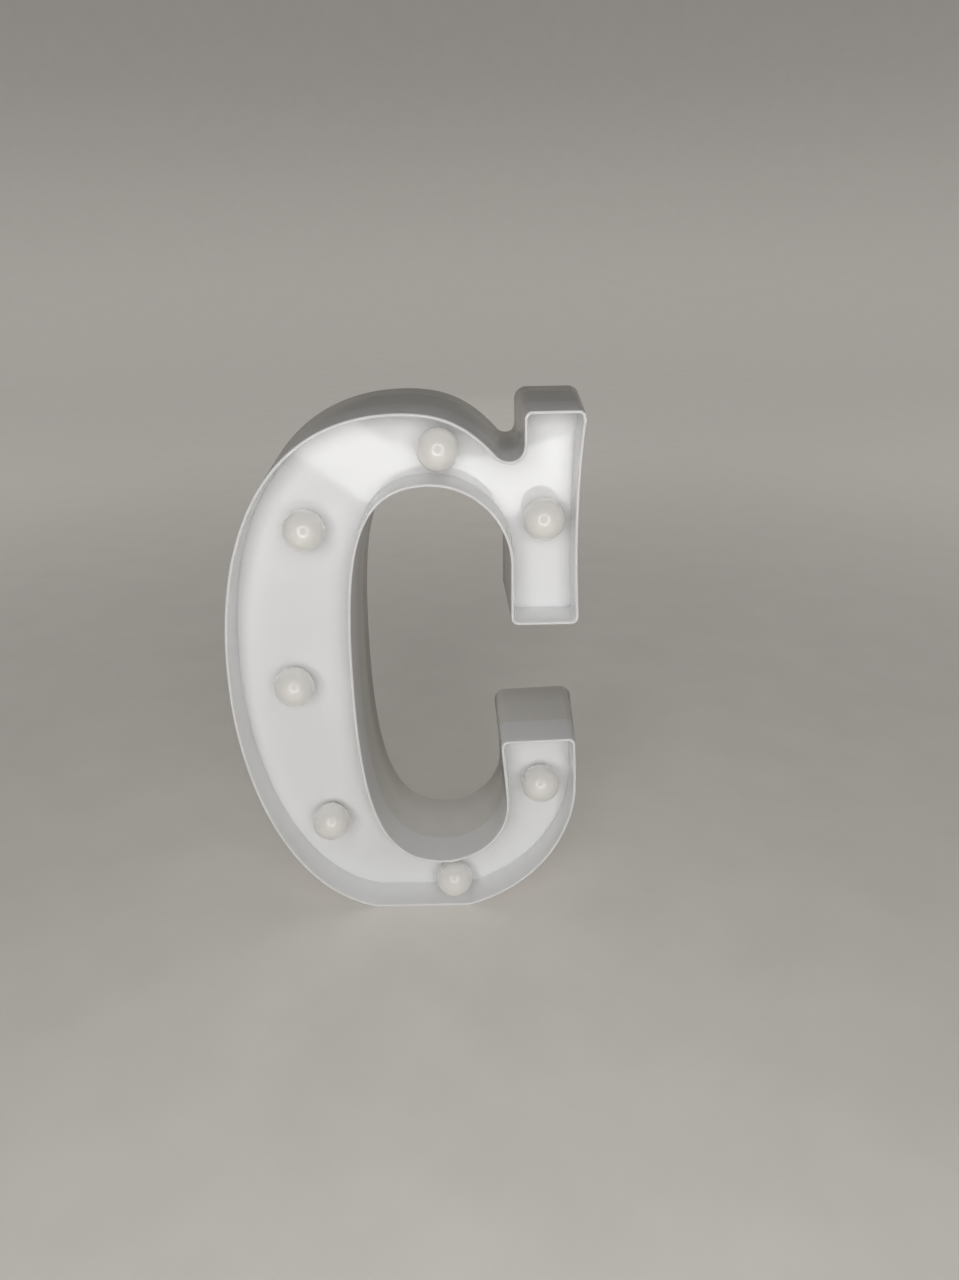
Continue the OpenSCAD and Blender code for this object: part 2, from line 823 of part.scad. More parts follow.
// Pocket of the switch body in which the foot of the knob slides
knob_foot_l = knob_l + 2 * foot_over;
knob_foot_w = knob_w + 2 * foot_over;
pocket_l = knob_foot_l + knob_travel + 2 * knob_gap;
pocket_w = knob_foot_w + 2 * knob_gap;
pocket_d = foot_t + 2 * knob_gap;

module switch_body() {
    color("dimgray") stand() at([switch_x, switch_h]) difference() {
        block(switch_l, switch_w - 4 * eps, body_z, body_z + switch_d);
        block(pocket_l, pocket_w, body_z - eps, body_z + pocket_d);
    }
}

module switch_terminals() {
    terminal_w = 1.2;
    color("silver") stand() for (k = [-1 : 1])
        at([switch_x + k * terminal_pitch, switch_h])
            block(terminal_w, plate_t, body_z + switch_d, body_z + switch_d + terminal_l);
}

// Knob at the left end of its travel, where the lamp is off
module switch_knob() {
    groove_w = 0.5;
    color("dimgray") stand() at([switch_x - knob_travel / 2, switch_h]) difference() {
        union() {
            block(knob_l, knob_w, knob_tip, body_z + knob_gap + eps);
            block(knob_foot_l, knob_foot_w, body_z + knob_gap, body_z + knob_gap + foot_t);
        }
        for (k = [-1 : 1])
            translate([2 * k * groove_w, 0, 0])
                block(groove_w, knob_w + 2 * eps, knob_tip - eps, knob_tip + groove_w);
    }
}

// Pan-head screw along +z, its head's seat at height 0, with a cross recess
module screw(d, l, head, height) {
    tip_l = d / 3;
    side_h = 0.6 * height;
    top_r = 0.36 * head;
    cross_l = 0.55 * head;
    cross_w = 0.16 * head;
    cross_depth = side_h;
    difference() {
        union() {
            post(d / 2, -eps, l - tip_l);
            translate([0, 0, l - tip_l]) cylinder(r1 = d / 2, r2 = tip_l / 2, h = tip_l);
            post(head / 2, -side_h, 0);
            translate([0, 0, -height]) cylinder(r1 = top_r, r2 = head / 2, h = height - side_h + eps);
        }
        block(cross_l, cross_w, -height - eps, cross_depth - height);
        block(cross_w, cross_l, -height - eps, cross_depth - height);
    }
}

module cover_screws() {
    color("silver") stand() for (p = post_at)
        at(p, well_depth) screw(screw_d, screw_l, head_d, head_h);
}

module switch_screws() {
    head = 1.8 * small_screw_d;
    height = 0.65 * small_screw_d;
    tip_gap = 0.3;
    color("silver") stand() for (x = [-1, 1])
        at([switch_x + x * ear_pitch / 2, switch_h], body_z) mirror([0, 0, 1])
            screw(small_screw_d, small_screw_l + frame_t - tip_gap, head, height);
}

// Bulb: a hollow globe whose neck rests on the tray and whose stem goes through it
module bulb(i) {
    globe_z = tray_front + bulb_rise;
    color("ivory") stand() at(bulb_at[i]) difference() {
        union() {
            post(stem_r, tray_back, globe_z);
            post(neck_d / 2, tray_front, globe_z);
            translate([0, 0, globe_z]) sphere(r = bulb_r);
        }
        post(stem_r - bulb_t, tray_back - eps, globe_z);
        translate([0, 0, globe_z]) sphere(r = bulb_r - bulb_t);
    }
}

module bulb_1() { bulb(0); }
module bulb_2() { bulb(1); }
module bulb_3() { bulb(2); }
module bulb_4() { bulb(3); }
module bulb_5() { bulb(4); }
module bulb_6() { bulb(5); }
module bulb_7() { bulb(6); }

// Plugs that hold the bulbs and the diodes from behind
module lamp_plugs() {
    color("white") stand() for (p = bulb_at) at(p) difference() {
        union() {
            post(stem_r + plug_lip, plug_back, tray_back);
            post(stem_r - bulb_t - plug_gap, tray_back - eps, tray_back + plug_reach);
        }
        post(led_d / 2 + plug_gap, plug_back - eps, tray_back + plug_reach + eps);
    }
}

module leds() {
    color("lightyellow") stand() for (i = [0 : len(bulb_at) - 1])
        at(bulb_at[i]) rotate([0, 0, bulb_heading[i]]) {
            post(led_flange_r, led_back, plug_back);
            post(led_d / 2, plug_back - eps, plug_back + led_h - led_d / 2);
            translate([0, 0, plug_back + led_h - led_d / 2]) sphere(r = led_d / 2);
            for (y = [-1, 1])
                translate([0, y * lead_pitch / 2, 0])
                    block(lead_t, lead_t, led_back - lead_l, led_back + eps);
        }
}

// Wires: smooth lines through chosen points, each with the direction of the wire there
function eased(a, u, b, v, t) =
    let (l = norm(b - a), s = 1 - t)
    s * s * (1 + 2 * t) * a + t * t * (1 + 2 * s) * b + l * t * s * (s * u - t * v);
wire_step = 6;
function smooth(p, d) =
    let (last = len(p) - 1)
    concat(
        [
            for (i = [0 : last - 1])
                let (n = max(2, ceil(norm(p[i + 1] - p[i]) / wire_step)))
                for (k = [0 : n - 1]) eased(p[i], d[i], p[i + 1], d[i + 1], k / n)
        ],
        [p[last]]
    );
// Line through points whose directions follow from their neighbours
function through(p) = smooth(p, [for (i = [0 : len(p) - 1]) ring_axis(p, i)]);

wire_r = wire_d / 2;
chain_z = led_back - lead_l / 2;
chain_off = lead_pitch / 2 + lead_t / 2 + joint_gap + wire_r;
pass_l = 4;
wire_margin = 6;

// Stops of the wiring from the upper terminal round to the lower one: place and heading
function stop(p, heading) = [p, heading];
function passing(i) =
    let (a = bulb_heading[i], along = pass_l * [cos(a), sin(a)])
    [stop(bulb_at[i] - along, a), stop(bulb_at[i] + along, a)];
chain_stops = concat(
    passing(2),
    [stop(across(valley, 0.4, counter_upper_right, 0.45), 145)],
    passing(0),
    passing(1),
    passing(3),
    passing(4),
    [stop([-foot_left + along_foot, base_w - wire_margin], 335)],
    passing(6),
    [stop(across(bowl_right, 0.6, counter_lower_right, 0.35), 50)],
    passing(5)
);

// Chain wire on one side of the stops
function chain(side) =
    let (
        along = [for (s = chain_stops) [cos(s[1]), sin(s[1]), 0]],
        p = [
            for (i = [0 : len(chain_stops) - 1])
                let (q = chain_stops[i][0] + side * chain_off * [-along[i].y, along[i].x])
                [q.x, q.y, chain_z]
        ]
    )
    smooth(p, along);
chain_plus = chain(-1);
chain_minus = chain(1);

// Place to the left or right at which a chain wire passes a height on its way down the stem
function x_at(p, y) =
    [
        for (i = [0 : len(p) - 2])
            if (p[i].y >= y && p[i + 1].y < y)
                p[i].x + (p[i + 1].x - p[i].x) * (y - p[i].y) / (p[i + 1].y - p[i].y)
    ][0];

module wire_chain_plus() {
    color("red") stand() tube(chain_plus, wire_r, 8);
}

module wire_chain_minus() {
    color("black") stand() tube(chain_minus, wire_r, 8);
}

// Places that the short wires run to
tab_end = bay_high + bay_wall + tab_l;
terminal_tip = body_z + switch_d + terminal_l;
feed_rise = 3;
feed_z = terminal_tip + feed_rise;
resistor_left = 4.4;
resistor_drop = 11;
resistor_lead = 2.6;
resistor_x = switch_x - resistor_left;
resistor_y = switch_h - resistor_drop;
resistor_half = resistor_l / 2 + resistor_lead;

module wire_battery_plus() {
    tip_x = switch_x - terminal_pitch;
    color("red") stand() tube(through([
        [left_x, tab_end + joint_gap, tab_z],
        [left_x - 0.4, tab_end + 5, tab_z + 0.6],
        [(left_x + tip_x) / 2, switch_h - 8, terminal_tip - 2],
        [tip_x, switch_h - 3.4, terminal_tip + 1.4],
        [tip_x, switch_h, terminal_tip + wire_r + joint_gap]
    ]), wire_r, 8);
}

// Wire that comes up to a chain wire from behind and ends under it
splice_z = chain_z - wire_d - joint_gap;

module wire_battery_minus() {
    y = switch_h - 9;
    chain_x = x_at(chain_minus, y);
    color("black") stand() tube(through([
        [right_x, tab_end + joint_gap, tab_z],
        [right_x - 0.4, tab_end + 4, tab_z + 1.6],
        [chain_x + 0.8, y - 0.8, splice_z - 4],
        [chain_x, y, splice_z]
    ]), wire_r, 8);
}

module wire_feed_in() {
    color("red") stand() tube(through([
        [switch_x, switch_h, terminal_tip + joint_gap],
        [switch_x, switch_h - 0.2, terminal_tip + 1.6],
        [resistor_x, switch_h - 3.6, feed_z],
        [resistor_x, resistor_y + resistor_half + joint_gap, feed_z]
    ]), wire_r, 8);
}

module wire_feed_out() {
    y = bay_high + bay_wall + wire_d;
    chain_x = x_at(chain_plus, y);
    color("red") stand() tube(through([
        [resistor_x, resistor_y - resistor_half - joint_gap, feed_z],
        [(2 * resistor_x + chain_x) / 3, y + 0.6, feed_z + 0.6],
        [chain_x, y, splice_z]
    ]), wire_r, 8);
}

// Resistor with two wire leads, along y
module resistor() {
    cap_l = 1.4;
    cap_t = 0.2;
    waist_r = resistor_d / 2 - cap_t;
    color("peru") stand() translate([resistor_x, resistor_y, feed_z]) rotate([-90, 0, 0]) {
        post(waist_r, -resistor_l / 2, resistor_l / 2);
        post(resistor_d / 2, -resistor_l / 2, -resistor_l / 2 + cap_l);
        post(resistor_d / 2, resistor_l / 2 - cap_l, resistor_l / 2);
        post(lead_t / 2, -resistor_half, resistor_half);
    }
}

front_shell();
back_cover();
battery_door();
cells();
cell_springs();
bridge_plate();
plus_plate();
minus_plate();
switch_frame();
switch_body();
switch_terminals();
switch_knob();
switch_screws();
cover_screws();
bulb_1();
bulb_2();
bulb_3();
bulb_4();
bulb_5();
bulb_6();
bulb_7();
lamp_plugs();
leds();
resistor();
wire_chain_plus();
wire_chain_minus();
wire_battery_plus();
wire_battery_minus();
wire_feed_in();
wire_feed_out();
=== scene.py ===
"""Looks of the light-up letter: a white plastic marquee letter C with seven round bulbs.

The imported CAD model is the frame. The front shell and the bulbs are modelled again here on the same
curves, finer than the solids. The other nodes keep their shape and get soft edges and a finish.
"""

import math

import bmesh
import bpy
from mathutils import Matrix, Vector


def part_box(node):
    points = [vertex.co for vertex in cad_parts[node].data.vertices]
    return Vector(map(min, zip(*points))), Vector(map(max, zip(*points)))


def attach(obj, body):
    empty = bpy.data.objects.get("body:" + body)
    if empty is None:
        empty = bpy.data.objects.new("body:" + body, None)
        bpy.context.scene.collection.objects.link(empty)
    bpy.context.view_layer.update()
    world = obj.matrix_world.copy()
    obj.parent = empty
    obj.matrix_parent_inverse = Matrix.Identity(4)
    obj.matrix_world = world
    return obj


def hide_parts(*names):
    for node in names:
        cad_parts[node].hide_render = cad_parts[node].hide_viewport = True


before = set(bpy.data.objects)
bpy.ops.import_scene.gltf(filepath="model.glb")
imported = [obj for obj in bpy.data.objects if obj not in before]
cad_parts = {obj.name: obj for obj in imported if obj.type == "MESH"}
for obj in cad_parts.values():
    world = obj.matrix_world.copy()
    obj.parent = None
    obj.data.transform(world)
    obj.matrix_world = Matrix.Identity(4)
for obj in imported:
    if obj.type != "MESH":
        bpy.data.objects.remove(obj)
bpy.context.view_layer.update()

# Sizes in millimetres, on the letter's own plane: x right, y up, z from the back towards the viewer
MM = 0.001
shell_low, shell_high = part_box("front_shell")
back_y = shell_high.y
draft = 1.8
half_w = (shell_high.x - shell_low.x) / 2 / MM - draft
letter_h = shell_high.z / MM - draft
depth = (shell_high.y - shell_low.y) / MM
rim_r = 0.6
wall = 1.8
recess = 14.8
recess_draft = 0.3
tray_t = 2
tray_front = depth - recess
tray_back = tray_front - tray_t
tray_fillet = 0.3
back_edge = 0.25
back_edge_bulge = 0.3
corner_r = 3
corner_pull = 0.45
bulb_r = 8
bulb_t = 0.8
bulb_rise = 8.9
neck_r = 4
stem_r = 3.5
stem_gap = 0.1
post_r = 3.5
post_end = 8
pilot_r = 1.6
pilot_end = 19.4

# Fineness of the meshes: longest step along the outline, and steps of the round forms
curve_step = 1.2
corner_n = 10
rim_n = 14
fillet_n = 6
round_n = 96
post_n = 48
globe_n = 40
hollow_n = 32


def p2(x, y):
    """Point of the letter's plane, in millimetres."""
    return Vector((x, y))


def place(p, z):
    """Row-frame place of a point of the letter's plane at a height over the back."""
    return Vector((p.x * MM, back_y - z * MM, p.y * MM))


def on_curve(c, t):
    """Point of a cubic curve."""
    s = 1 - t
    return s**3 * c[0] + 3 * s * s * t * c[1] + 3 * s * t * t * c[2] + t**3 * c[3]


def row(c, n=None):
    """Points along a cubic curve, without its last one."""
    if n is None:
        length = sum((b - a).length for a, b in zip(c, c[1:]))
        n = max(3, math.ceil(length / curve_step))
    return [on_curve(c, i / n) for i in range(n)]


def bowl(p, q, up, over, lift=0):
    """Quarter of a bowl, from a point with an upright tangent to one with a level tangent."""
    return [
        p,
        p2(p.x, p.y + up * (q.y - p.y)),
        p2(q.x + over * (p.x - q.x), q.y + lift * (p.y - q.y)),
        q,
    ]


def corner(a, p, b):
    """Rounded corner at p between the directions to a and b."""
    u = corner_r * (a - p).normalized()
    v = corner_r * (b - p).normalized()
    return row([p + u, p + corner_pull * u, p + corner_pull * v, p + v], corner_n)


def letter_outline():
    """The front outline, clockwise as the viewer sees it, from the left end of the foot."""
    left = p2(-half_w, 107)
    crown = p2(3, letter_h)
    shoulder = p2(half_w - 33, letter_h - 15)
    foot_l = p2(-17, 0)
    foot_r = p2(24, 0)
    right = p2(half_w, 61)
    counter_left = p2(left.x + 50, left.y)
    counter_top = p2(13, letter_h - 26.6)
    counter_low = p2(13, 25)
    upper_side = p2(half_w - 27.2, counter_top.y - 31.4)
    lower_side = p2(half_w - 29.2, counter_low.y + 27.5)
    serif_tl = p2(half_w - 22.4, letter_h)
    serif_tr = p2(half_w - 0.2, letter_h)
    upper_br = p2(half_w - 1, letter_h - 81.7)
    upper_bl = p2(upper_side.x, upper_br.y)
    lower_tl = p2(lower_side.x - 2.2, 84.3)
    lower_tr = p2(half_w - 0.8, 85.3)
    down = p2(0, -corner_r)
    valley_low = letter_h - 19
    hollow_x = half_w - 2.8
    valley_end = p2(serif_tl.x, letter_h - 11.8)

    bowl_low = bowl(left, foot_l, up=0.45, over=0.66, lift=0.07)
    bowl_top = bowl(left, crown, up=0.56, over=0.71)
    shoulder_run = [crown, crown + p2(15.5, 0), shoulder + p2(-9.8, 10.6), shoulder]
    valley = [shoulder, p2(shoulder.x + 2.6, valley_low), p2(serif_tl.x, valley_low), valley_end]
    right_side = [
        serif_tr + down,
        p2(hollow_x, serif_tr.y - corner_r - 20),
        p2(hollow_x, upper_br.y + corner_r + 25),
        upper_br - down,
    ]
    counter_upper_right = bowl(upper_side, counter_top, up=0.57, over=0.53)
    counter_upper_left = bowl(counter_left, counter_top, up=0.72, over=0.82)
    counter_lower_left = bowl(counter_left, counter_low, up=0.71, over=0.74)
    counter_lower_right = bowl(lower_side, counter_low, up=0.54, over=0.54)
    lower_inside = [lower_side, lower_side + p2(0, 8), lower_tl + p2(0.73, -12), lower_tl + down]
    lower_outside = [lower_tr + down, lower_tr + p2(0.3, -10), right + p2(0, 8), right]
    bowl_right = bowl(right, foot_r, up=0.36, over=0.69, lift=0.17)
    return [
        *row(bowl_low[::-1]),
        *row(bowl_top),
        *row(shoulder_run),
        *row(valley),
        valley_end,
        *corner(valley_end, serif_tl, serif_tr),
        *corner(serif_tl, serif_tr, right_side[1]),
        *row(right_side),
        *corner(right_side[2], upper_br, upper_bl),
        *corner(upper_br, upper_bl, upper_side),
        upper_bl - down,
        *row(counter_upper_right),
        *row(counter_upper_left[::-1]),
        *row(counter_lower_left),
        *row(counter_lower_right[::-1]),
        *row(lower_inside),
        *corner(lower_inside[2], lower_tl, lower_tr),
        *corner(lower_tl, lower_tr, lower_outside[1]),
        *row(lower_outside),
        *row(bowl_right),
        foot_r,
    ]


outline = letter_outline()


def outward(a, b):
    """Direction out of the letter, square to the side from a to b."""
    d = (b - a).normalized()
    return p2(-d.y, d.x)


def spread_of(points):
    """Direction in which each point moves when the sides beside it move out by 1 mm."""
    n = len(points)
    found = []
    for i, p in enumerate(points):
        before = outward(points[i - 1], p)
        after = outward(p, points[(i + 1) % n])
        found.append((before + after) / (1 + before.dot(after)))
    return found


spread = spread_of(outline)


def grown(z):
    """How far the outside of the wall stands out from the front outline at a height."""
    return draft * (depth - z) / depth


def wall_ring(bm, out, z, floor=0):
    """Ring of points round the letter, moved out from the front outline and kept over a floor."""
    ring = []
    for p, s in zip(outline, spread):
        q = p + out * s
        ring.append(bm.verts.new(place(p2(q.x, max(q.y, floor)), z)))
    return ring


def circle(bm, centre, r, z, n=round_n):
    """Ring of points round a point of the plane at a height over the back."""
    turns = [2 * math.pi * i / n for i in range(n)]
    return [bm.verts.new(place(centre + r * p2(math.cos(a), math.sin(a)), z)) for a in turns]


def join_rings(bm, rings):
    """Side faces between each ring and the next."""
    for a, b in zip(rings, rings[1:]):
        n = len(a)
        for i in range(n):
            bm.faces.new((a[i], a[(i + 1) % n], b[(i + 1) % n], b[i]))


def fill_flat(bm, loops):
    """Flat face inside the first loop of points and outside the others."""
    edges = []
    for loop in loops:
        for i, v in enumerate(loop):
            w = loop[(i + 1) % len(loop)]
            edges.append(bm.edges.get((v, w)) or bm.edges.new((v, w)))
    made = bmesh.ops.triangle_fill(bm, use_beauty=True, edges=edges, normal=(0, -1, 0))
    for face in made["geom"]:
        if isinstance(face, bmesh.types.BMFace):
            face.smooth = False


def new_object(name, bm):
    """Object from a bmesh, which is used up."""
    mesh = bpy.data.meshes.new(name)
    bm.to_mesh(mesh)
    bm.free()
    obj = bpy.data.objects.new(name, mesh)
    bpy.context.scene.collection.objects.link(obj)
    return obj


def piece(name, bm, body, sharp_deg=40):
    """Object from a bmesh, with clean normals, that rides on a CAD body."""
    bmesh.ops.recalc_face_normals(bm, faces=bm.faces)
    limit = math.radians(sharp_deg)
    for edge in bm.edges:
        edge.smooth = len(edge.link_faces) == 2 and edge.calc_face_angle() < limit
    obj = new_object(name, bm)
    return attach(obj, body)


def smooth_bmesh(bm):
    """Shades every face smooth."""
    for face in bm.faces:
        face.smooth = True


def centres(node, reach):
    """Middles of the separate solids of a CAD node, on the letter's plane, in millimetres."""
    groups = []
    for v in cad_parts[node].data.vertices:
        q = p2(v.co.x, v.co.z) / MM
        near = [g for g in groups if (g[0] - q).length < reach]
        if near:
            near[0].append(q)
        else:
            groups.append([q])
    spans = [([q.x for q in g], [q.y for q in g]) for g in groups]
    return [p2((min(x) + max(x)) / 2, (min(y) + max(y)) / 2) for x, y in spans]


bulb_nodes = [f"bulb_{i}" for i in range(1, 8)]
bulb_at = [centres(n, reach=2.5 * bulb_r)[0] for n in bulb_nodes]
post_at = centres("cover_screws", reach=3 * post_r)


def arc(centre_out, centre_z, r, start_deg, end_deg, n):
    """Points of an arc in the wall's section, as distance out and height."""
    turns = [math.radians(start_deg + (end_deg - start_deg) * i / n) for i in range(n + 1)]
    return [(centre_out + r * math.cos(a), centre_z + r * math.sin(a)) for a in turns]


def front_shell():
    """Walls with their round rim, the tray with its bulb holes, and the screw posts behind it."""
    bm = bmesh.new()
    inner = -2 * rim_r - recess_draft
    bulge = back_edge_bulge * back_edge
    outside = [(draft - back_edge, 0), (draft - bulge, bulge)]
    outside += [(grown(z), z) for z in (back_edge, depth / 3, 2 * depth / 3)]
    rim = arc(-rim_r, depth - rim_r, rim_r, 0, 180, rim_n)
    fillet = arc(inner - tray_fillet, tray_front + tray_fillet, tray_fillet, 0, -90, fillet_n)
    front = [wall_ring(bm, out, z) for out, z in outside + rim + fillet]
    behind = [(grown(tray_back) - wall, tray_back), (draft - wall, 0)]
    cavity = [wall_ring(bm, out, z, wall) for out, z in behind]
    join_rings(bm, front)
    join_rings(bm, cavity + [front[0]])
    bores = []
    hole_r = stem_r + stem_gap
    for p in bulb_at:
        bores.append([circle(bm, p, hole_r, tray_front), circle(bm, p, hole_r, tray_back)])
        join_rings(bm, bores[-1])
    posts = []
    for p in post_at:
        rings = [circle(bm, p, post_r, z, post_n) for z in (tray_back, post_end)]
        rings += [circle(bm, p, pilot_r, z, post_n) for z in (post_end, pilot_end)]
        join_rings(bm, rings)
        bm.faces.new(rings[-1])
        posts.append(rings[0])
    smooth_bmesh(bm)
    fill_flat(bm, [front[-1]] + [b[0] for b in bores])
    fill_flat(bm, [cavity[0]] + [b[1] for b in bores] + posts)
    shell = piece("shell", bm, "letter", sharp_deg=50)
    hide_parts("front_shell")
    return shell


def lathe(bm, centre, profile):
    """Closed solid of revolution about a line through a point of the plane, from (r, z) pairs."""
    rings = []
    for r, z in profile:
        if r > 0:
            rings.append(circle(bm, centre, r, z))
        else:
            rings.append([bm.verts.new(place(centre, z))])
    for a, b in zip(rings, rings[1:] + rings[:1]):
        for i in range(round_n):
            j = (i + 1) % round_n
            corners = [a[i % len(a)], a[j % len(a)], b[j % len(b)], b[i % len(b)]]
            unique = list(dict.fromkeys(corners))
            if len(unique) > 2:
                bm.faces.new(unique)


def bulb(node, centre):
    """Hollow globe whose neck rests on the tray and whose stem goes through it."""
    bm = bmesh.new()
    globe_z = tray_front + bulb_rise
    inner_r = bulb_r - bulb_t
    bore_r = stem_r - bulb_t
    neck_deg = math.degrees(math.acos(neck_r / bulb_r))
    bore_deg = math.degrees(math.acos(bore_r / inner_r))
    outer = arc(0, globe_z, bulb_r, -neck_deg, 90, globe_n)
    inside = arc(0, globe_z, inner_r, 90, -bore_deg, hollow_n)
    outer[-1] = (0, globe_z + bulb_r)
    inside[0] = (0, globe_z + inner_r)
    stem = [(bore_r, tray_back), (stem_r, tray_back), (stem_r, tray_front), (neck_r, tray_front)]
    lathe(bm, centre, stem + outer + inside)
    smooth_bmesh(bm)
    globe = piece(node + "_globe", bm, "letter")
    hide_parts(node)
    return globe


# Materials by slot, and the part of a noise's range over which a tone or value runs from low to high

materials = {}
noise_start, noise_end = 0.35, 0.65
dust = (0.16, 0.14, 0.12)


def new_material(name, colour, roughness):
    """Material with its main shader, and the coordinates of the row frame."""
    mat = bpy.data.materials.new(name)
    materials[name] = mat
    mat.use_nodes = True
    shader = mat.node_tree.nodes["Principled BSDF"]
    shader.inputs["Base Color"].default_value = (*colour, 1)
    shader.inputs["Roughness"].default_value = roughness
    coords = mat.node_tree.nodes.new("ShaderNodeTexCoord")
    return mat, shader, coords


def calc(mat, operation, *values):
    """Result of a sum on sockets and plain values."""
    node = mat.node_tree.nodes.new("ShaderNodeMath")
    node.operation = operation
    for socket, value in zip(node.inputs, values):
        if isinstance(value, bpy.types.NodeSocket):
            mat.node_tree.links.new(value, socket)
        else:
            socket.default_value = value
    return node.outputs["Value"]


def blend_base(mat, shader, factor, colour, blend_type):
    """Blends a colour into the base colour by a factor."""
    nodes, links = mat.node_tree.nodes, mat.node_tree.links
    mix = nodes.new("ShaderNodeMix")
    mix.data_type = "RGBA"
    mix.blend_type = blend_type
    base = shader.inputs["Base Color"].links[0].from_socket
    links.new(factor, mix.inputs["Factor"])
    links.new(base, mix.inputs["A"])
    mix.inputs["B"].default_value = (*colour, 1)
    links.new(mix.outputs["Result"], shader.inputs["Base Color"])


def noise(mat, coords, per_metre, detail=3, stretch=(1, 1, 1)):
    """Noise of a given number of blotches to the metre."""
    nodes, links = mat.node_tree.nodes, mat.node_tree.links
    mapping = nodes.new("ShaderNodeMapping")
    mapping.inputs["Scale"].default_value = stretch
    links.new(coords.outputs["Object"], mapping.inputs["Vector"])
    tex = nodes.new("ShaderNodeTexNoise")
    tex.inputs["Scale"].default_value = per_metre
    tex.inputs["Detail"].default_value = detail
    links.new(mapping.outputs["Vector"], tex.inputs["Vector"])
    return tex.outputs["Fac"]


def spread_value(mat, fac, low, high, socket):
    """A value that runs from low to high with a noise."""
    nodes, links = mat.node_tree.nodes, mat.node_tree.links
    node = nodes.new("ShaderNodeMapRange")
    node.inputs["From Min"].default_value = noise_start
    node.inputs["From Max"].default_value = noise_end
    node.inputs["To Min"].default_value = low
    node.inputs["To Max"].default_value = high
    links.new(fac, node.inputs["Value"])
    links.new(node.outputs["Result"], socket)


def spread_colour(mat, fac, low, high, socket):
    """A colour that runs from low to high with a noise."""
    nodes, links = mat.node_tree.nodes, mat.node_tree.links
    node = nodes.new("ShaderNodeValToRGB")
    node.color_ramp.elements[0].position = noise_start
    node.color_ramp.elements[1].position = noise_end
    node.color_ramp.elements[0].color = (*low, 1)
    node.color_ramp.elements[1].color = (*high, 1)
    links.new(fac, node.inputs["Fac"])
    links.new(node.outputs["Color"], socket)


def relief(mat, shader, coords, layers, stretch=(1, 1, 1)):
    """Fine relief of the surface, summed from noises given as (blotches to the metre, height in mm)."""
    nodes, links = mat.node_tree.nodes, mat.node_tree.links
    total = 0
    for per_metre, height in layers:
        bumps = noise(mat, coords, per_metre, detail=2, stretch=stretch)
        total = calc(mat, "MULTIPLY_ADD", bumps, height * MM, total)
    node = nodes.new("ShaderNodeBump")
    node.inputs["Distance"].default_value = 1
    links.new(total, node.inputs["Height"])
    links.new(node.outputs["Normal"], shader.inputs["Normal"])


def specks(mat, shader, coords, per_metre, share, radius_mm):
    """Small dark specks of dust in the plastic, in a share of the cells of a grid of random points."""
    nodes, links = mat.node_tree.nodes, mat.node_tree.links
    cells = nodes.new("ShaderNodeTexVoronoi")
    cells.inputs["Scale"].default_value = per_metre
    links.new(coords.outputs["Object"], cells.inputs["Vector"])
    chosen = nodes.new("ShaderNodeSeparateColor")
    links.new(cells.outputs["Color"], chosen.inputs["Color"])
    near = calc(mat, "LESS_THAN", cells.outputs["Distance"], radius_mm * MM * per_metre)
    few = calc(mat, "LESS_THAN", chosen.outputs["Red"], share)
    blend_base(mat, shader, calc(mat, "MULTIPLY", near, few), dust, "MIX")


def painted_shade_behind(mat, shader, coords, y, half_step, tone):
    """Painted shade: plastic behind a plane is coloured darker than in front of it, standing in for the
    light that comes through the wall in front.
    """
    nodes, links = mat.node_tree.nodes, mat.node_tree.links
    split = nodes.new("ShaderNodeSeparateXYZ")
    links.new(coords.outputs["Object"], split.inputs["Vector"])
    step = nodes.new("ShaderNodeMapRange")
    step.interpolation_type = "SMOOTHSTEP"
    step.inputs["From Min"].default_value = y - half_step
    step.inputs["From Max"].default_value = y + half_step
    links.new(split.outputs["Y"], step.inputs["Value"])
    blend_base(mat, shader, step.outputs["Result"], tone, "MULTIPLY")


def moulded(name, low, high, rough, grain, scatter=0, scatter_mm=1, ior=1.46):
    """Moulded plastic: a faint drift of tone, a handled gloss and the relief of the mould."""
    mat, shader, coords = new_material(name, high, rough[0])
    shader.inputs["IOR"].default_value = ior
    shader.inputs["Subsurface Weight"].default_value = scatter
    shader.inputs["Subsurface Radius"].default_value = (1, 1, 1)
    shader.inputs["Subsurface Scale"].default_value = scatter_mm * MM
    drift = noise(mat, coords, per_metre=22, detail=4)
    handling = noise(mat, coords, per_metre=60, detail=5)
    spread_colour(mat, drift, low, high, shader.inputs["Base Color"])
    spread_value(mat, handling, *rough, shader.inputs["Roughness"])
    relief(mat, shader, coords, grain)
    return mat, shader, coords


def metal(name, low, high, rough, per_metre=900, stretch=(1, 1, 1)):
    """Bare metal with fine drawn or rolled marks."""
    mat, shader, coords = new_material(name, high, rough[0])
    shader.inputs["Metallic"].default_value = 1
    mark_mm = 0.004
    marks = noise(mat, coords, per_metre, detail=4, stretch=stretch)
    spread_colour(mat, marks, low, high, shader.inputs["Base Color"])
    spread_value(mat, marks, *rough, shader.inputs["Roughness"])
    relief(mat, shader, coords, [(per_metre, mark_mm)], stretch)


def clear_lens(name):
    """Clear cast resin of the diodes."""
    resin = (0.95, 0.94, 0.88)
    rough = (0.06, 0.14)
    mat, shader, coords = new_material(name, resin, rough[0])
    shader.inputs["Transmission Weight"].default_value = 0.85
    shader.inputs["IOR"].default_value = 1.5
    spread_value(mat, noise(mat, coords, per_metre=900), *rough, shader.inputs["Roughness"])


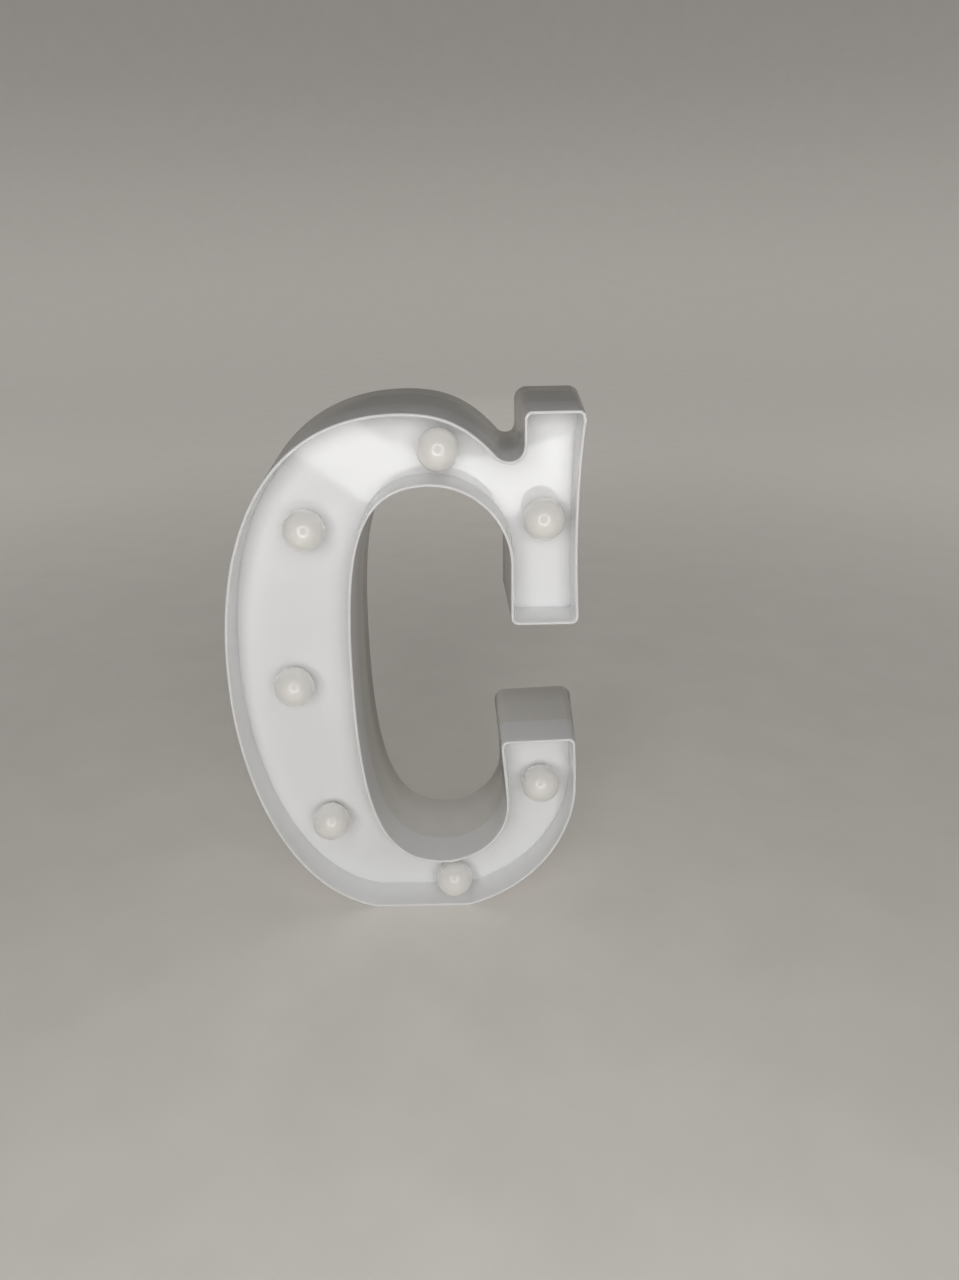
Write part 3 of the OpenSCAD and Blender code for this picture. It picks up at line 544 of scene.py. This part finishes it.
# Reliefs as (blotches to the metre, height in mm), and ranges of roughness
smooth_skin = [(900, 0.0006), (25, 0.1)]
satin_skin = [(2600, 0.004), (25, 0.05)]
gloss = (0.045, 0.075)
sleeve = (0.25, 0.35)
frosted = (0.3, 0.36)
satin = (0.34, 0.44)
matt = (0.4, 0.5)
drawn = (0.22, 0.34)
rolled = (0.25, 0.4)
plated = (0.28, 0.42)

shell_tones = (0.858, 0.86, 0.864), (0.881, 0.883, 0.887)
shell_mix = moulded("shell_white", *shell_tones, gloss, smooth_skin, scatter=1, scatter_mm=1.3, ior=1.5)
shell_mix[1].inputs["Specular IOR Level"].default_value = 0.68
tray_middle = back_y - (tray_front + tray_back) / 2 * MM
# Painted shade: the shell's colour is made darker behind the middle of the tray, where no light comes
# through the wall from the recess
painted_shade_behind(*shell_mix, tray_middle, half_step=0.0005, tone=(0.935, 0.917, 0.88))
specks(*shell_mix, per_metre=60, share=0.06, radius_mm=0.25)

bulb_tones = (0.9, 0.878, 0.843), (0.925, 0.903, 0.868)
bulb_mix = moulded(
    "bulb_frosted", *bulb_tones, frosted, smooth_skin, scatter=0.25, scatter_mm=0.6, ior=1.5
)
bulb_mix[1].inputs["Diffuse Roughness"].default_value = 0.3
bulb_mix[1].inputs["Coat Weight"].default_value = 1
bulb_mix[1].inputs["Coat Roughness"].default_value = 0.1
bulb_mix[1].inputs["Coat IOR"].default_value = 1.8
specks(*bulb_mix, per_metre=90, share=0.1, radius_mm=0.2)

moulded("cover_white", (0.76, 0.76, 0.755), (0.79, 0.79, 0.785), satin, satin_skin)
moulded("plug_white", (0.7, 0.7, 0.69), (0.74, 0.74, 0.73), matt, satin_skin)
clear_lens("led_clear")
moulded("cell_sleeve", (0.02, 0.022, 0.024), (0.035, 0.037, 0.04), sleeve, smooth_skin)
metal("spring_steel", (0.52, 0.52, 0.5), (0.68, 0.67, 0.65), drawn)
metal("contact_steel", (0.55, 0.55, 0.53), (0.7, 0.69, 0.67), rolled, per_metre=500, stretch=(1, 1, 12))
metal("contact_brass", (0.55, 0.43, 0.2), (0.68, 0.54, 0.28), rolled)
moulded("switch_black", (0.012, 0.012, 0.013), (0.022, 0.022, 0.023), matt, satin_skin)
metal("screw_steel", (0.42, 0.42, 0.41), (0.6, 0.6, 0.58), plated)
moulded("resistor_tan", (0.42, 0.28, 0.14), (0.5, 0.34, 0.18), matt, satin_skin)
moulded("wire_red", (0.4, 0.02, 0.015), (0.5, 0.03, 0.02), satin, smooth_skin)
moulded("wire_black", (0.012, 0.012, 0.012), (0.02, 0.02, 0.02), satin, smooth_skin)


def wear(obj, material):
    """Gives an object one material."""
    obj.data.materials.clear()
    obj.data.materials.append(material)


def soften(node, edge_mm):
    """Rounds the edges of a CAD node's own mesh with modifiers."""
    weld_gap = 1e-6
    sharp_deg = 35
    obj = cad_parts[node]
    for polygon in obj.data.polygons:
        polygon.use_smooth = True
    weld = obj.modifiers.new("weld", "WELD")
    weld.merge_threshold = weld_gap
    edges = obj.modifiers.new("edges", "BEVEL")
    edges.width = edge_mm * MM
    edges.segments = 2
    edges.limit_method = "ANGLE"
    edges.angle_limit = math.radians(sharp_deg)
    edges.harden_normals = True


# Finishes of the CAD nodes by slot
slot_nodes = {
    "cover_white": ["back_cover", "battery_door"],
    "plug_white": ["lamp_plugs"],
    "led_clear": ["leds"],
    "cell_sleeve": ["cells"],
    "spring_steel": ["cell_springs"],
    "contact_steel": ["bridge_plate", "plus_plate", "minus_plate", "switch_frame"],
    "contact_brass": ["switch_terminals"],
    "switch_black": ["switch_body", "switch_knob"],
    "screw_steel": ["switch_screws", "cover_screws"],
    "resistor_tan": ["resistor"],
    "wire_red": ["wire_chain_plus", "wire_battery_plus", "wire_feed_in", "wire_feed_out"],
    "wire_black": ["wire_chain_minus", "wire_battery_minus"],
}
for slot, nodes in slot_nodes.items():
    for node in nodes:
        wear(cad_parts[node], materials[slot])
for node in ("back_cover", "battery_door"):
    soften(node, edge_mm=0.3)
soften("switch_knob", edge_mm=0.12)

wear(front_shell(), materials["shell_white"])
for node, centre in zip(bulb_nodes, bulb_at):
    wear(bulb(node, centre), materials["bulb_frosted"])


# Stage: a pale floor that turns up into a round backdrop

def paler_to_look_at(mat, even, near, far, high):
    """Glow that only shows to the eye, and less of it in reflections: near the letter, far and high."""
    near_far_m = (0.1, 1)
    low_high_m = (0.1, 0.8)
    lamp_colour = (1, 0.955, 0.89)
    nodes, links = mat.node_tree.nodes, mat.node_tree.links
    shader = nodes["Principled BSDF"]
    coords = nodes["Texture Coordinate"]
    path = nodes.new("ShaderNodeLightPath")
    seen = path.outputs["Is Camera Ray"]
    for ray in ("Is Glossy Ray", "Is Transmission Ray"):
        seen = calc(mat, "MAXIMUM", seen, path.outputs[ray])
    distance = nodes.new("ShaderNodeVectorMath")
    distance.operation = "LENGTH"
    links.new(coords.outputs["Object"], distance.inputs[0])
    split = nodes.new("ShaderNodeSeparateXYZ")
    links.new(coords.outputs["Object"], split.inputs["Vector"])
    grow = nodes.new("ShaderNodeMapRange")
    fade = nodes.new("ShaderNodeMapRange")
    for node, (start, end) in ((grow, near_far_m), (fade, low_high_m)):
        node.interpolation_type = "SMOOTHSTEP"
        node.inputs["From Min"].default_value = start
        node.inputs["From Max"].default_value = end
    grow.inputs["To Min"].default_value = near
    grow.inputs["To Max"].default_value = far
    fade.inputs["To Min"].default_value = 1
    fade.inputs["To Max"].default_value = high / far
    links.new(distance.outputs["Value"], grow.inputs["Value"])
    links.new(split.outputs["Z"], fade.inputs["Value"])
    glow = seen
    for factor in (grow, fade):
        glow = calc(mat, "MULTIPLY", glow, factor.outputs["Result"])
    total = calc(mat, "MULTIPLY_ADD", path.outputs["Is Camera Ray"], even, glow)
    shader.inputs["Emission Color"].default_value = (*lamp_colour, 1)
    links.new(total, shader.inputs["Emission Strength"])


def pale_stage():
    """Round floor whose edge turns up into a wall, in metres."""
    floor_r, turn_r, top = 1.7, 0.7, 2.6
    floor_n, turn_n = 6, 16
    profile = [(floor_r * i / floor_n, 0) for i in range(1, floor_n + 1)]
    for i in range(1, turn_n + 1):
        a = math.pi / 2 * i / turn_n
        profile.append((floor_r + turn_r * math.sin(a), turn_r * (1 - math.cos(a))))
    profile.append((floor_r + turn_r, top))
    bm = bmesh.new()
    centre = bm.verts.new((0, 0, 0))
    turns = [2 * math.pi * i / round_n for i in range(round_n)]
    rings = []
    for r, z in profile:
        rings.append([bm.verts.new((r * math.cos(a), r * math.sin(a), z)) for a in turns])
    for i in range(round_n):
        bm.faces.new((centre, rings[0][i], rings[0][(i + 1) % round_n]))
    join_rings(bm, rings)
    smooth_bmesh(bm)
    bmesh.ops.recalc_face_normals(bm, faces=bm.faces)
    obj = new_object("floor", bm)
    floor_tones = (0.61, 0.585, 0.545), (0.65, 0.625, 0.585)
    dull = (0.8, 0.9)
    floor_skin = [(1400, 0.02)]
    moulded("floor_pale", *floor_tones, dull, floor_skin)
    paler_to_look_at(materials["floor_pale"], even=0.12, near=0.04, far=0.2, high=0.09)
    wear(obj, materials["floor_pale"])


pale_stage()

# Camera of the photograph: place in metres, lens from a focal length of 910 pixels of 1280
image_w, image_h = 959, 1280
focal_px = 910
eye = Vector((0.02973, -0.34426, 0.27606))
pitch, yaw, roll = math.radians(24.251), math.radians(0.119), math.radians(-0.978)
flat = math.cos(pitch)
ahead = Vector((math.sin(yaw) * flat, math.cos(yaw) * flat, -math.sin(pitch)))
level = Vector((math.cos(yaw), -math.sin(yaw), 0))
upright = level.cross(ahead)
camera_x = math.cos(roll) * level + math.sin(roll) * upright
camera_y = -math.sin(roll) * level + math.cos(roll) * upright


def photo_camera():
    """Camera at the photograph's eye point, with its lens."""
    data = bpy.data.cameras.new("photo_camera")
    data.sensor_width = 36
    data.lens = focal_px / max(image_w, image_h) * data.sensor_width
    data.clip_start = 0.01
    obj = bpy.data.objects.new("photo_camera", data)
    bpy.context.scene.collection.objects.link(obj)
    turn = Matrix((camera_x, camera_y, -ahead)).transposed().to_4x4()
    obj.matrix_world = Matrix.Translation(eye) @ turn
    bpy.context.scene.camera = obj


photo_camera()


# Light: an upright ring of panels round the camera, a soft lamp in front and three behind

def panel(name, turn, location, width, height, radiance, spread_deg=180):
    """Flat lamp of a given radiance along the -Z of its turn, with a grid that narrows its spread."""
    half = math.radians(spread_deg) / 2
    share = math.sin(half) ** 2 - (half - math.sin(2 * half) / 2) / math.tan(half)
    data = bpy.data.lights.new(name, "AREA")
    data.shape = "RECTANGLE"
    data.size = width
    data.size_y = height
    data.energy = share * radiance * math.pi * width * height
    data.spread = math.radians(spread_deg)
    obj = bpy.data.objects.new(name, data)
    bpy.context.scene.collection.objects.link(obj)
    obj.matrix_world = Matrix.Translation(location) @ turn.to_4x4()
    return obj


def ring_light(middle, inner, outer, count, radiance):
    """Ring of panels that look along +Y."""
    width = 2 * outer * math.tan(math.pi / count)
    height = outer - inner
    for i in range(count):
        a = 2 * math.pi * i / count
        out = Vector((math.cos(a), 0, math.sin(a)))
        along = Vector((math.sin(a), 0, -math.cos(a)))
        turn = Matrix((along, out, Vector((0, -1, 0)))).transposed()
        panel(f"ring_{i}", turn, middle + (inner + outer) / 2 * out, width, height, radiance)


def soft_box(name, location, target, width, height, radiance, colour, spread_deg=180):
    """Soft lamp that lights a place and leaves no reflection of its own."""
    turn = (target - location).to_track_quat("-Z", "Y").to_matrix()
    obj = panel(name, turn, location, width, height, radiance, spread_deg)
    obj.data.color = colour
    obj.visible_glossy = False


ring_light(eye, inner=0.152, outer=0.2, count=14, radiance=2.7)
middle = Vector((0, 0, 0.1))
warm = (1, 0.93, 0.84)
pale = (1, 0.97, 0.93)
day = (1, 0.995, 0.985)
grid_deg = 40
soft_box("front", Vector((0, -0.9, 0.45)), middle, width=0.8, height=0.4, radiance=3.7, colour=day)
for name, x in (("back_left", -1.2), ("back_right", 1.2)):
    spot = Vector((x, 1.4, 0.3))
    soft_box(name, spot, middle, width=0.3, height=0.4, radiance=8, colour=warm, spread_deg=grid_deg)
spot = Vector((0, 1.5, 0.2))
soft_box("behind", spot, middle, width=0.3, height=0.3, radiance=20, colour=pale, spread_deg=grid_deg)

world = bpy.data.worlds.new("world")
bpy.context.scene.world = world
world.use_nodes = True
background = world.node_tree.nodes["Background"]
background.inputs["Color"].default_value = (*warm, 1)
background.inputs["Strength"].default_value = 0.03

bpy.context.scene.view_settings.view_transform = "Standard"
